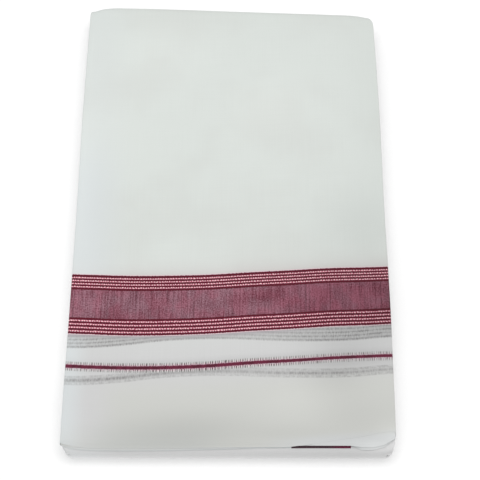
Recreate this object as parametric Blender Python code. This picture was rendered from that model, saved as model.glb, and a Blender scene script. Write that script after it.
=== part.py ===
"""A dhoti, folded flat.

One woven length of cotton, 3.80 m long and 1.27 m wide, is folded twice. First it is rolled up
flat across its width, in five plies, from selvedge to selvedge. Then the five plies together
are rolled up flat along their length, in nine leaves. The packet lies on the second leaf.

The roll runs like this, from the cut end of the cloth: the top leaf goes back over the packet,
round the back turn, forward along the underside as the bottom leaf, up round the front turn,
and then on inside, where the hidden leaves are wound.

Frame: metres, the origin in the middle of the underside, +X to the right across the cloth,
+Y to the back turn and +Z up.
"""

import math

import bmesh
import bpy

MM = 0.001

# ---- Driving sizes ----

PACKET_WIDTH = 262 * MM  # from the left fold to the right fold
PACKET_LENGTH = 436.8 * MM  # from the front turn to the back turn
PACKET_HEIGHT = 22.5 * MM  # nine leaves, pressed flat
LEAVES = 9
SEAM_GAP = 0.3 * MM  # between two stretches of the cloth
UPPER_WALL = 1.2 * MM  # the upper plies of the top leaf
TURN_DEPTH = 9 * MM  # how far a turn bulges from where the flat leaves end
TURN_SQUARENESS = 2.4  # 2 is a true half ellipse, more is squarer
FRONT_CORNER = 11 * MM  # radius of the front turn's ends, seen from above
BACK_CORNER = 9 * MM
SHARP_ANGLE = 40  # degrees, above which an edge of the cloth is drawn sharp
COTTON_ROUGHNESS = 0.85

# ---- Worked out from them ----

HALF_WIDTH = PACKET_WIDTH / 2
HALF_LENGTH = PACKET_LENGTH / 2
LEAF_PITCH = PACKET_HEIGHT / LEAVES
LEAF_WALL = LEAF_PITCH - SEAM_GAP
LOWER_WALL = LEAF_PITCH - UPPER_WALL - SEAM_GAP  # the lower plies of the top leaf
STACK_TOP = PACKET_HEIGHT - LEAF_PITCH - SEAM_GAP  # what the top leaf lies on
HIDDEN_LEAVES = LEAVES - 2
FRONT_SEAM = -HALF_LENGTH + TURN_DEPTH + SEAM_GAP

# ---- The packet seen from above ----

# How far each side lies inside the packet's box. The share runs from the left end to the
# right end of the front and back, and from the front end to the back end of the sides.
SIDES = {
    "back": {
        "share": (0.00, 0.03, 0.08, 0.14, 0.31, 0.50, 0.73, 0.94, 1.00),
        "inset_mm": (4.2, 2.6, 0.0, 0.0, 1.3, 3.3, 5.6, 8.5, 11.3),
    },
    "left": {
        "share": (0.00, 0.20, 0.45, 0.75, 1.00),
        "inset_mm": (0.3, 0.6, 0.9, 0.6, 1.2),
    },
    "right": {
        "share": (0.00, 0.15, 0.30, 0.50, 0.75, 1.00),
        "inset_mm": (1.6, 0.9, 0.4, 0.9, 0.6, 1.6),
    },
    "cut_end": {  # the top leaf's end, which stops short of the front turn
        "share": (0.00, 0.03, 0.09, 0.24, 0.58, 0.70, 0.86, 0.95, 1.00),
        "inset_mm": (7.1, 4.7, 3.6, 3.4, 4.6, 6.0, 11.7, 16.5, 17.3),
    },
    "lower_end": {  # the lower plies' end, which shows below the cut end
        "share": (0.00, 0.03, 0.09, 0.40, 0.68, 0.86, 0.88, 0.93, 0.96, 1.00),
        "inset_mm": (9.0, 7.0, 6.0, 5.6, 4.3, 4.4, 3.6, 3.4, 6.6, 12.8),
    },
}

# Where the points lie across the cloth: closer at its right end, where the ends are stepped.
COLUMNS = (0, 0.03, 0.08, 0.16, 0.27, 0.4, 0.5, 0.6, 0.68, 0.775, 0.86, 0.88, 0.93, 0.96, 1)
# Where they lie along a leaf: closer at its front end, where it falls to the front turn.
ROWS = (0, 0.005, 0.012, 0.03, 0.055, 0.085, 0.12, 0.17, 0.23, 0.3, 0.37, 0.44, 0.51, 0.58,
        0.65, 0.72, 0.79, 0.86, 0.93, 1)
# Along the hidden leaves they are closer at both ends, where the corners round off.
HIDDEN_ROWS = (0, 0.007, 0.016, 0.05, 0.12, 0.23, 0.37, 0.51, 0.65, 0.79, 0.92, 0.984, 0.993, 1)
BOTTOM_ROWS = (0, 0.25, 0.5, 0.75, 1)  # along the flat bottom leaf
FOLD_ANGLES = (45, 90, 135)  # degrees round the left and right folds of a leaf
TURN_STEPS = 16

# How far the left and right folds of each hidden leaf lie inside the packet's sides,
# from the lowest hidden leaf to the highest.
HIDDEN_EDGES = {
    "left_mm": (1.5, 0.6, 1.2, 2.2, 0.5, 1.6, 0.8),
    "right_mm": (0.5, 1.2, 2.0, 0.9, 1.8, 1.1, 0.4),
}
BOTTOM_EDGE = 1.2 * MM  # the same for the bottom leaf
FOLD_GROOVE = 1.1 * MM  # how deep the cloth draws in between two folded edges
EDGE_PROFILE = {  # each folded edge, from its underside to its top
    "height_share": (0.03, 0.28, 0.72, 0.97),
    "groove_share": (1, 0, 0, 1),
}

# ---- How the cloth has settled ----

FRONT_FALL = 3.0 * MM  # the top surface drops this much towards its cut end
FALL_START = -162 * MM
SWELLS = {  # soft swells and hollows of the top surface
    "name": ("back swell", "left swell", "right hollow", "front ridge", "front hollow"),
    "across_mm": (-50, -95, 112, 46, -25),
    "along_mm": (108, -22, -17, -172, -192),
    "half_across_mm": (70, 32, 34, 20, 55),
    "half_along_mm": (80, 70, 48, 38, 26),
    "height_mm": (0.6, 0.5, -1.0, 0.6, -0.8),
}
STILL_BELOW = 6 * MM  # under this height nothing has moved

WHITE_COTTON = (0.76, 0.78, 0.75)
SHADED_COTTON = (0.66, 0.68, 0.66)
SELVEDGE_MAROON = (0.13, 0.02, 0.04)


def mix(start, end, share):
    return start + (end - start) * share


def ease(share):
    share = min(max(share, 0.0), 1.0)
    return share * share * (3 - 2 * share)


def inset_of(side, share):
    """How far a side lies inside the packet's box, between the rows of its table."""
    shares = SIDES[side]["share"]
    insets = SIDES[side]["inset_mm"]
    for row in range(1, len(shares)):
        if share <= shares[row]:
            step = (share - shares[row - 1]) / (shares[row] - shares[row - 1])
            return mix(insets[row - 1], insets[row], ease(step)) * MM
    return insets[-1] * MM


def share_across(x):
    return (x + HALF_WIDTH) / PACKET_WIDTH


def back_seam(x):
    return HALF_LENGTH - TURN_DEPTH - SEAM_GAP - inset_of("back", share_across(x))


def front_seam(x):
    return FRONT_SEAM


def cut_end(x):
    return -HALF_LENGTH + inset_of("cut_end", share_across(x))


def lower_end(x):
    return -HALF_LENGTH + inset_of("lower_end", share_across(x))


def left_side(y):
    return -HALF_WIDTH + inset_of("left", (y + HALF_LENGTH) / PACKET_LENGTH)


def right_side(y):
    return HALF_WIDTH - inset_of("right", (y + HALF_LENGTH) / PACKET_LENGTH)


def corner_inset(past_seam, radius):
    """How far a turn's rounded corner draws in, at a distance past the turn's seam."""
    from_tip = max(TURN_DEPTH - past_seam, 0.0)
    if from_tip >= radius or past_seam <= 0:
        return 0.0
    return radius - math.sqrt(radius**2 - (radius - from_tip) ** 2)


def stack_drop(y):
    """How far the stack's top lies below STACK_TOP where it rounds over the front turn."""
    past_seam = min(max((FRONT_SEAM - 2 * SEAM_GAP - y) / TURN_DEPTH, 0.0), 1.0)
    rise = (1 - past_seam**TURN_SQUARENESS) ** (1 / TURN_SQUARENESS)
    return STACK_TOP / 2 * (1 - rise)


def settled(x, y, z):
    """Where a point of the neatly stacked packet lies once the cloth has settled."""
    height = -FRONT_FALL * ease((FALL_START - y) / (FALL_START + HALF_LENGTH))
    for row in range(len(SWELLS["name"])):
        across = (x / MM - SWELLS["across_mm"][row]) / SWELLS["half_across_mm"][row]
        along = (y / MM - SWELLS["along_mm"][row]) / SWELLS["half_along_mm"][row]
        height += SWELLS["height_mm"][row] * MM * math.exp(-(across**2) - along**2)
    weight = ease((z - STILL_BELOW) / (STACK_TOP - STILL_BELOW))
    return (x, y, z + height * weight)


# ---- Sections of the cloth ----
# A section is a closed ring of points round a stretch of cloth: its outer face from left to
# right, the right fold, its inner face back to the left, and the left fold.


def ring(place, left, right, wall):
    """place(x, side) gives a point, where side is 1 on the outer face and -1 on the inner."""
    fold = wall / 2
    columns = [mix(left + fold, right - fold, share) for share in COLUMNS]
    bends = [math.radians(angle) for angle in FOLD_ANGLES]
    points = [place(x, 1) for x in columns]
    points += [place(right - fold * (1 - math.sin(bend)), math.cos(bend)) for bend in bends]
    points += [place(x, -1) for x in reversed(columns)]
    points += [place(left + fold * (1 - math.sin(bend)), -math.cos(bend)) for bend in bends]
    return [settled(*point) for point in points]


def leaf_section(along, front, back, bottom, wall, edge_inset=0.0, on_stack=False):
    """A ring round a flat leaf, at a share of its way from the front to the back."""

    def place(x, side):
        y = mix(front(x), back(x), along)
        z = bottom + wall / 2 * (1 + side)
        if on_stack:
            z -= stack_drop(y)
        return (x, y, z)

    middle = mix(front(0), back(0), along)
    return ring(place, left_side(middle) + edge_inset, right_side(middle) - edge_inset, wall)


def turn_point(degrees, depth, half_height):
    """A point of a turn, out from its seam and up from its middle; -90 is the bottom."""
    angle = math.radians(degrees)
    power = 2 / TURN_SQUARENESS
    out = depth * abs(math.cos(angle)) ** power
    up = math.copysign(half_height * abs(math.sin(angle)) ** power, degrees)
    return out, up


def turn_section(degrees, seam, direction, top, corner):
    """A ring round a turn; direction is -1 at the front and 1 at the back."""
    half_height = top / 2
    outer = turn_point(degrees, TURN_DEPTH, half_height)
    inner = turn_point(degrees, TURN_DEPTH - LEAF_WALL, half_height - LEAF_WALL)

    def place(x, side):
        y = seam(x) + direction * mix(inner[0], outer[0], (1 + side) / 2)
        z = half_height + mix(inner[1], outer[1], (1 + side) / 2)
        return (x, y, z)

    draw_in = corner_inset(outer[0], corner)
    middle = seam(0)
    return ring(place, left_side(middle) + draw_in, right_side(middle) - draw_in, LEAF_WALL)


# ---- Meshes ----


def skin_between(mesh, first, second):
    count = len(first)
    for here in range(count):
        after = (here + 1) % count
        mesh.faces.new((first[here], first[after], second[after], second[here]))


def cap_section(mesh, section):
    """Close the ring at a stretch's end: a strip between its faces, and one face per fold."""
    columns = len(COLUMNS)
    folds = len(FOLD_ANGLES)
    inner_start = columns + folds
    for column in range(columns - 1):
        opposite = inner_start + columns - 1 - column
        mesh.faces.new(
            (section[column], section[column + 1], section[opposite - 1], section[opposite])
        )
    mesh.faces.new(section[columns - 1 : inner_start + 1])
    mesh.faces.new(section[inner_start + columns - 1 :] + section[:1])


def cotton(name, colour):
    material = bpy.data.materials.new(name)
    material.use_nodes = True
    shader = material.node_tree.nodes["Principled BSDF"]
    shader.inputs["Base Color"].default_value = (*colour, 1)
    shader.inputs["Roughness"].default_value = COTTON_ROUGHNESS
    shader.inputs["Metallic"].default_value = 0
    return material


def add_object(name, mesh, colour):
    bmesh.ops.recalc_face_normals(mesh, faces=mesh.faces)
    data = bpy.data.meshes.new(name)
    mesh.to_mesh(data)
    mesh.free()
    data.materials.append(cotton(name + "_cotton", colour))
    data.shade_smooth()
    data.set_sharp_from_angle(angle=math.radians(SHARP_ANGLE))
    bpy.context.scene.collection.objects.link(bpy.data.objects.new(name, data))


def cloth_wall(name, sections, colour):
    """A closed wall of cloth through its sections."""
    mesh = bmesh.new()
    rings = [[mesh.verts.new(point) for point in section] for section in sections]
    for first, second in zip(rings, rings[1:]):
        skin_between(mesh, first, second)
    cap_section(mesh, rings[0])
    cap_section(mesh, rings[-1])
    add_object(name, mesh, colour)


# ---- The stretches of the cloth that show ----


def make_top_leaf():
    """The upper plies of the top leaf, with the cut end of the cloth at the front."""
    bottom = PACKET_HEIGHT - UPPER_WALL
    sections = [
        leaf_section(along, cut_end, back_seam, bottom, UPPER_WALL, on_stack=True)
        for along in ROWS
    ]
    cloth_wall("top_leaf", sections, WHITE_COTTON)


def make_lower_plies():
    """The lower plies of the top leaf, whose ends and selvedge show below the cut end."""
    bottom = PACKET_HEIGHT - LEAF_PITCH
    sections = [
        leaf_section(along, lower_end, back_seam, bottom, LOWER_WALL, on_stack=True)
        for along in ROWS
    ]
    cloth_wall("lower_plies", sections, SELVEDGE_MAROON)


def make_turn(name, seam, direction, top, corner, colour):
    sections = [
        turn_section(-90 + 180 * step / TURN_STEPS, seam, direction, top, corner)
        for step in range(TURN_STEPS + 1)
    ]
    cloth_wall(name, sections, colour)


def make_back_turn():
    """From the top leaf, round the back of the packet, to the bottom leaf."""

    def seam(x):
        return back_seam(x) + SEAM_GAP

    make_turn("back_turn", seam, 1, PACKET_HEIGHT, BACK_CORNER, WHITE_COTTON)


def make_front_turn():
    """From the bottom leaf, up round the front of the packet, to the first hidden leaf."""

    def seam(x):
        return front_seam(x) - SEAM_GAP

    make_turn("front_turn", seam, -1, STACK_TOP, FRONT_CORNER, SHADED_COTTON)


def make_bottom_leaf():
    """The flat stretch that the packet rests on."""
    sections = [
        leaf_section(along, front_seam, back_seam, 0.0, LEAF_WALL, BOTTOM_EDGE)
        for along in BOTTOM_ROWS
    ]
    cloth_wall("bottom_leaf", sections, SHADED_COTTON)


# ---- The layers that the fold hides ----


def hidden_levels():
    """The heights at which the hidden stack is drawn, with the draw-in of its two sides."""
    low = LEAF_WALL + SEAM_GAP
    pitch = (STACK_TOP - low) / HIDDEN_LEAVES
    for leaf in range(HIDDEN_LEAVES):
        left = HIDDEN_EDGES["left_mm"][leaf] * MM
        right = HIDDEN_EDGES["right_mm"][leaf] * MM
        for share, groove_share in zip(EDGE_PROFILE["height_share"], EDGE_PROFILE["groove_share"]):
            groove = FOLD_GROOVE * groove_share
            yield leaf, low + pitch * (leaf + share), left + groove, right + groove


def inside_turn(z, top):
    """How far past its seam the hidden stack reaches at a height, inside a turn."""
    inner_depth = TURN_DEPTH - LEAF_WALL - SEAM_GAP
    half_height = top / 2 - LEAF_WALL - SEAM_GAP
    up = min(abs(z - top / 2) / half_height, 1.0)
    return inner_depth * (1 - up**TURN_SQUARENESS) ** (1 / TURN_SQUARENESS)


def outline_places(rows):
    """The column and row numbers that are met on the way round the hidden stack."""
    last_column = len(COLUMNS) - 1
    last_row = len(rows) - 1
    places = [(column, 0) for column in range(last_column)]
    places += [(last_column, row) for row in range(last_row)]
    places += [(column, last_row) for column in range(last_column, 0, -1)]
    places += [(0, row) for row in range(last_row, 0, -1)]
    return places


def make_hidden_layers():
    """The inner leaves as one solid with a folded edge for each leaf down both sides.

    Its highest leaf starts behind the front turn, which it continues. The others reach
    into the front turn, and all of them reach into the back turn.
    """
    mesh = bmesh.new()
    places = outline_places(HIDDEN_ROWS)
    highest = HIDDEN_LEAVES - 1
    rings = []
    for leaf, z, left_in, right_in in hidden_levels():
        front_reach = -SEAM_GAP if leaf == highest else inside_turn(z, STACK_TOP)
        back_reach = inside_turn(z, PACKET_HEIGHT)

        def depth(x, along):
            return mix(front_seam(x) - front_reach, back_seam(x) + back_reach, along)

        def corner(place):
            across = COLUMNS[place[0]]
            along = HIDDEN_ROWS[place[1]]
            y = depth(mix(-HALF_WIDTH, HALF_WIDTH, across), along)
            draw_in = corner_inset(front_seam(0) - y, FRONT_CORNER)
            draw_in += corner_inset(y - back_seam(0), BACK_CORNER)
            left = left_side(y) + left_in + draw_in
            x = mix(left, right_side(y) - right_in - draw_in, across)
            return mesh.verts.new(settled(x, depth(x, along), z))

        rings.append([corner(place) for place in places])
    for first, second in zip(rings, rings[1:]):
        skin_between(mesh, first, second)
    mesh.faces.new(rings[0])
    top = dict(zip(places, rings[-1]))
    for row in range(len(HIDDEN_ROWS)):
        for column in range(len(COLUMNS)):
            if (column, row) not in top:
                top[column, row] = corner((column, row))
    for row in range(len(HIDDEN_ROWS) - 1):
        for column in range(len(COLUMNS) - 1):
            square = ((column, row), (column + 1, row), (column + 1, row + 1), (column, row + 1))
            mesh.faces.new([top[place] for place in square])
    add_object("hidden_layers", mesh, WHITE_COTTON)


for leftover in list(bpy.data.objects):
    bpy.data.objects.remove(leftover, do_unlink=True)
make_top_leaf()
make_lower_plies()
make_back_turn()
make_front_turn()
make_bottom_leaf()
make_hidden_layers()
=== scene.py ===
# %% [markdown]
# # A dhoti, folded flat
#
# A dhoti is one woven length of cotton, with no seams at all. This one is a double dhoti, 3.80 m
# long and 1.27 m wide. It is rolled up flat across its width in five plies, and then the five
# plies together are rolled up flat along their length in nine leaves. What lies on the table is
# a packet of forty-five layers of the same cloth.
#
# The packet could be modelled as a box with rounded sides. Here the real fold is built instead:
# a thin sheet follows all its plies and leaves, so the folded edges at the sides and the turns at
# the front and back come out by themselves. Only the stepped ends of the plies are given one by
# one.

# %% Load the frame
import math

import bmesh
import bpy
import numpy as np
from mathutils import Matrix, Vector, noise


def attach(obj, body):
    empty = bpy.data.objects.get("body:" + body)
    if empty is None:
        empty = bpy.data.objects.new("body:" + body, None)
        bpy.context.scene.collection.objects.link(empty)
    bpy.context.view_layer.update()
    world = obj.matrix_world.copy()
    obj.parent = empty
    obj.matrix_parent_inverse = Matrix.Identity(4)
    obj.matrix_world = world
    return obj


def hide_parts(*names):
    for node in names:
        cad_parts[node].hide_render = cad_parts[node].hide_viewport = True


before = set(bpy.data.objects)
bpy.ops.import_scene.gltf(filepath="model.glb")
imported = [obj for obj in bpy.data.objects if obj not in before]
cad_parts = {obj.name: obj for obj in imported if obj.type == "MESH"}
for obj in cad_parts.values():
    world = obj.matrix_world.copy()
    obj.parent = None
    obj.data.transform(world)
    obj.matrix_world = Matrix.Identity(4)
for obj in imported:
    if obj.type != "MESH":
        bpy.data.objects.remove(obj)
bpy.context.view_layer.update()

MM = 0.001

# %% [markdown]
# ## The sizes
#
# Everything follows from the packet's width and length, the number of leaves and plies, and the
# cloth's own thickness. The frame gives the place of the solids, and the sizes here are the ones
# that they were made from.

# %% Driving sizes
HALF_WIDTH = 131 * MM
HALF_LENGTH = 218.4 * MM
PACKET_HEIGHT = 22.5 * MM
LEAVES = 9
PLIES = 5
CLOTH = 0.40 * MM  # thickness of one ply

LEAF = PACKET_HEIGHT / LEAVES  # five plies
PLY = LEAF / PLIES  # from one ply to the next
print("a leaf is", round(LEAF / MM, 2), "mm thick and a ply takes", round(PLY / MM, 2), "mm")

# %% [markdown]
# ## The camera
#
# The packet is seen from the front and well above. A long lens from more than a metre away keeps
# its sides nearly parallel. The camera is set first, because every later choice of detail
# depends on how large a thread looks from there.

# %% Camera
CAMERA_PLACE = (0.0080, -0.6374, 1.0761)
CAMERA_DROP = math.radians(60.08)  # how far it looks down
CAMERA_ROLL = math.radians(0.16)
CAMERA_LENS = 109.3
SENSOR_WIDTH = 36


def into_scene(name, data):
    made = bpy.data.objects.new(name, data)
    bpy.context.scene.collection.objects.link(made)
    return made


camera_data = bpy.data.cameras.new("camera")
camera_data.lens = CAMERA_LENS
camera_data.sensor_width = SENSOR_WIDTH
camera = into_scene("camera", camera_data)
ahead = Vector((0, math.cos(CAMERA_DROP), -math.sin(CAMERA_DROP)))
level_up = Vector((0, math.sin(CAMERA_DROP), math.cos(CAMERA_DROP)))
right = Vector((1, 0, 0)) * math.cos(CAMERA_ROLL) + level_up * math.sin(CAMERA_ROLL)
up = right.cross(ahead)
turned = Matrix((right, up, -ahead)).transposed().to_4x4()
camera.matrix_world = Matrix.Translation(CAMERA_PLACE) @ turned
bpy.context.scene.camera = camera
bpy.context.scene.view_settings.view_transform = "Standard"
print("the camera is", round(Vector(CAMERA_PLACE).length, 3), "m away")

# %% [markdown]
# ## Curves through a few measured points
#
# Hand-folded cloth has no straight edges. Its outline and the run of its border are each given by
# a few measured points, and a smooth curve is drawn through them. A straight line from point to
# point would leave kinks that show in the stripes.

# %% Smooth curves


def smooth_curve(table, across_name, value_name):
    """A smooth curve through a table's points, in metres, as a function of a place in metres."""
    places = np.array(table[across_name], float) * MM
    values = np.array(table[value_name], float) * MM
    slopes = np.gradient(values, places)

    def curve(at):
        at = np.clip(np.asarray(at, float), places[0], places[-1])
        before = np.clip(np.searchsorted(places, at) - 1, 0, len(places) - 2)
        step = places[before + 1] - places[before]
        t = (at - places[before]) / step
        start = (2 * t**3 - 3 * t**2 + 1) * values[before]
        start = start + (t**3 - 2 * t**2 + t) * step * slopes[before]
        end = (3 * t**2 - 2 * t**3) * values[before + 1]
        return start + end + (t**3 - t**2) * step * slopes[before + 1]

    return curve


def ease(share):
    share = np.clip(share, 0.0, 1.0)
    return share * share * (3 - 2 * share)


def mix(start, end, share):
    return start + (end - start) * share


print("halfway through an ease:", float(ease(0.5)))

# %% [markdown]
# ## The packet seen from above
#
# The back turn slants a little, because the left side was folded longer than the right one. The
# sides bow in and out by a millimetre. The corners of both turns are rounded, because the layers
# inside them pull the cloth in.

# %% Outline
BACK_EDGE = {
    "across_mm": (-131, -125, -120, -110, -95, -50, 0, 60, 90, 116, 124, 131),
    "inset_mm": (4.2, 3.6, 1.6, 0, 0, 1.3, 3.3, 5.6, 6.8, 8.6, 10.4, 11.3),
}
LEFT_SIDE = {
    "along_mm": (-218, -132, -24, 106, 218),
    "inset_mm": (-0.4, 0.4, 0.9, 0.6, 1.6),
}
RIGHT_SIDE = {
    "along_mm": (-218, -153, -88, -2, 106, 218),
    "inset_mm": (1.4, 0.9, 0.4, 0.9, 0.8, 2.4),
}
back_inset = smooth_curve(BACK_EDGE, "across_mm", "inset_mm")
left_inset = smooth_curve(LEFT_SIDE, "along_mm", "inset_mm")
right_inset = smooth_curve(RIGHT_SIDE, "along_mm", "inset_mm")
FRONT_CORNERS = {"left": 12 * MM, "right": 12 * MM}
BACK_CORNERS = {"left": 5 * MM, "right": 12 * MM}


def corner_draw_in(from_tip, radius):
    """How far a rounded corner draws in, at a distance from the tip of its turn."""
    reach = np.clip(radius - from_tip, 0.0, radius)
    return radius - np.sqrt(np.maximum(radius**2 - reach**2, 0.0))


print("the back edge slants by", round(float(back_inset(0.13) - back_inset(-0.1)) / MM, 1), "mm")

# %% [markdown]
# ## Five plies across
#
# Seen from its end, a leaf is the cloth rolled up flat: from its inner selvedge the cloth goes
# right (ply c), folds back left (b), folds down and right (d), folds up and left (a, the one on
# top), and folds down and right once more (e), where the outer selvedge ends well short of the
# right side. Five separate slabs would be simpler, but they'd have no folded edges. One chain of
# columns through all five plies gives both.
#
# A column is a place on that chain: its share of the way from the left to the right, how far it
# bulges past the flat part, its height in the leaf, the direction of the cloth's outer face, and
# the ply that it is on. On a fold it names both plies.

# %% The chain of columns
PLY_HEIGHTS = {"a": 2 * PLY, "b": PLY, "c": 0.0, "d": -PLY, "e": -2 * PLY}
LEFT_FOLD_REACH = 2 * PLY + CLOTH / 2
RIGHT_FOLD_REACH = 1.5 * PLY + CLOTH / 2
SELVEDGE_PLACE = 96.2 * MM  # where ply e ends
FOLD_STEPS = 6
COLUMN_PARTS = ("share", "bulge", "height", "face_across", "face_up")


def even_shares(count, start=0.0, end=1.0):
    return [mix(start, end, step / count) for step in range(count + 1)]


def flat_columns(ply, shares, going_right):
    """Columns along one ply. The outer face is on the right hand of the way the chain goes."""
    face = -1.0 if going_right else 1.0
    return [(share, 0.0, PLY_HEIGHTS[ply], 0.0, face, ply) for share in shares]


def fold_columns(share, first, last):
    """Columns round a fold, from the height of one ply to that of the next in the chain."""
    middle = (PLY_HEIGHTS[first] + PLY_HEIGHTS[last]) / 2
    radius = abs(PLY_HEIGHTS[first] - PLY_HEIGHTS[last]) / 2
    side = 1 if share else -1
    columns = []
    for step in range(1, FOLD_STEPS):
        angle = math.pi * step / FOLD_STEPS
        rise = -math.cos(angle) * side
        bulge = math.sin(angle) * side
        columns.append((share, radius * bulge, middle + radius * rise, bulge, rise, first + last))
    return columns


def chain_of_columns(top_count, under_count):
    under = even_shares(under_count)
    selvedge = (SELVEDGE_PLACE + HALF_WIDTH) / (2 * HALF_WIDTH)
    columns = flat_columns("c", under, True)
    columns += fold_columns(1, "c", "b")
    columns += flat_columns("b", under[::-1], False)
    columns += fold_columns(0, "b", "d")
    columns += flat_columns("d", under, True)
    columns += fold_columns(1, "d", "a")
    columns += flat_columns("a", even_shares(top_count)[::-1], False)
    columns += fold_columns(0, "a", "e")
    columns += flat_columns("e", even_shares(under_count, 0.0, selvedge), True)
    chain = {"ply": [column[-1] for column in columns]}
    for place, part in enumerate(COLUMN_PARTS):
        chain[part] = np.array([column[place] for column in columns])
    return chain


OUTER_COLUMNS = chain_of_columns(88, 30)
INNER_COLUMNS = chain_of_columns(12, 6)
print("columns in the outer cloth:", len(OUTER_COLUMNS["ply"]), "inner:", len(INNER_COLUMNS["ply"]))

# %% [markdown]
# ## Nine leaves along
#
# Seen from the side, the packet is a flat spiral. Leaf 1 is on top, leaf 2 at the bottom, leaf 3
# under the top one, and so on inwards. Leaves are joined by turns: the odd turns are at the back
# and the even ones at the front. Each turn is a half ellipse, a little squarer than a true one,
# because the cloth is pressed flat.

# %% Leaves and turns
LEVELS = (8, 0, 7, 1, 6, 2, 5, 3, 4)  # of leaves 1 to 9, from the bottom
TURN_SQUARENESS = 2.4
OUTER_TURN_DEPTH = 9 * MM - LEAF / 2
TURN_ROUNDNESS = 0.775  # depth of a turn for its half height
LEAST_TURN_DEPTH = 1.3 * MM


def leaf_middle(leaf):
    return (LEVELS[leaf - 1] + 0.5) * LEAF


def turn_sizes(turn):
    """Half height, middle height and depth of a turn, along the middle of its five plies."""
    first, last = leaf_middle(turn), leaf_middle(turn + 1)
    half_height = abs(first - last) / 2
    depth = OUTER_TURN_DEPTH if turn <= 2 else TURN_ROUNDNESS * half_height
    return half_height, (first + last) / 2, max(depth, LEAST_TURN_DEPTH)


def seam(turn, x):
    """Where a turn starts to bend, at a place across the cloth."""
    rank = (turn - 1) // 2
    tip = HALF_LENGTH - (rank + 0.5) * LEAF
    depth = turn_sizes(turn)[2]
    if turn % 2:
        return tip - depth - back_inset(x)
    return -(tip - depth) + 0 * x


def turn_point(turn, share, x, height):
    """A point on a turn; height is how far outside the middle of the five plies it lies."""
    half_height, middle, depth = turn_sizes(turn)
    angle = math.pi * (0.5 - share)
    if turn % 2 == 0:
        angle = -angle
    power = 2 / TURN_SQUARENESS
    out = (depth + height) * abs(math.cos(angle)) ** power
    rise = (half_height + height) * math.copysign(abs(math.sin(angle)) ** power, angle)
    y = seam(turn, x) + (out if turn % 2 else -out)
    return y, middle + rise


LAST_LEAF_SHORT = 3 * MM  # the innermost leaf, from the turn that it stops short of


def leaf_point(leaf, share, x, height):
    """A point on a flat leaf, at a share of the way that the roll runs along it."""
    start = seam(leaf - 1, x)
    end = seam(leaf, x) if leaf < LEAVES else seam(leaf - 2, x) - LAST_LEAF_SHORT
    outward = 1 if leaf % 2 else -1
    return mix(start, end, share), leaf_middle(leaf) + outward * height


depths = [round(turn_sizes(turn)[2] / MM, 1) for turn in range(1, LEAVES)]
print("depth of each turn, in mm:", depths)

# %% [markdown]
# ## The cut end on top
#
# Leaf 1 starts at the front with the cut end of the cloth, which lies over the rounded front
# turn. Its five plies don't end together. At the right the top ply is shortest, ply b shows below
# it, and ply d sticks out as a small lip. Left of the lip ply e sticks out by less than two
# millimetres, and there its selvedge border shows as a dark red line. At the left the plies end in
# small steps, each a little further forward than the one above it.

# %% Where each ply ends
PLY_ENDS = {  # how far behind the front turn's tip each ply ends
    "across_mm": (-131, -122, -108, -69, -19, 20, 46, 55, 78, 93, 97, 100, 105, 111, 116, 120, 124,
             127, 131),
    "a_mm": (7.6, 5.6, 4.6, 4.4, 4.8, 5.2, 5.2, 5.7, 9.3, 11.7, 12.2, 12.7, 13.5, 14.8, 16.1, 16.7,
             17, 17.2, 17.3),
    "b_mm": (7.2, 5.1, 4.1, 3.9, 4.4, 5, 5.7, 5.9, 6, 6, 5.9, 5.2, 5, 4.9, 5.3, 6.6, 9.4, 11,
             13),
    "c_mm": (7.5, 5.4, 4.4, 4.2, 4.8, 5.3, 6, 6.2, 6.3, 6.3, 6.2, 5.6, 5.2, 5.1, 5.6, 7, 9.6,
             11.2, 13.2),
    "d_mm": (6.4, 4.1, 3.1, 2.9, 3.7, 4.8, 6.3, 6.5, 6.5, 6.5, 6.3, 4.1, 3.5, 3.4, 4.1, 5.3, 8.3,
             10.4, 12.8),
    "e_mm": (6, 3.7, 2.7, 2.5, 3.4, 4.4, 4.6, 4.65, 4.75, 4.75, 4.8, 5, 5, 5, 5, 5, 5, 5, 5),
}
OVERHANG_BACK = -192.4 * MM  # behind all the ends; from here on leaf 1 is even
MOST_PAST = 0.98  # how far round the turn an end may reach, as a share of the turn's depth
behind_tip = {ply: smooth_curve(PLY_ENDS, "across_mm", ply + "_mm") for ply in PLY_HEIGHTS}


def chain_ends(columns, x):
    """Where the cut end lies for each column; on a fold it passes from one ply to the next."""
    ends = np.zeros(len(x))
    names = columns["ply"]
    for column, ply in enumerate(names):
        if len(ply) == 1:
            ends[column] = behind_tip[ply](x[column]) - HALF_LENGTH
    for column, ply in enumerate(names):
        if len(ply) == 2:
            first = column - names[:column][::-1].index(ply[0]) - 1
            last = names.index(ply[1], column)
            ends[column] = mix(ends[first], ends[last], (column - first) / (last - first))
    return ends


def over_front_turn(y, height):
    """The height of leaf 1 where it lies over the front turn, which it follows."""
    half_height, middle, depth = turn_sizes(2)
    lift = LEAF + height
    past = np.clip((seam(2, 0.0) - y) / (depth + lift), 0.0, MOST_PAST)
    rise = (1 - past**TURN_SQUARENESS) ** (1 / TURN_SQUARENESS)
    return middle + (half_height + lift) * rise


print("the lip sticks out", round(float(behind_tip["a"](0.1) - behind_tip["d"](0.1)) / MM, 1), "mm")
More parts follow.
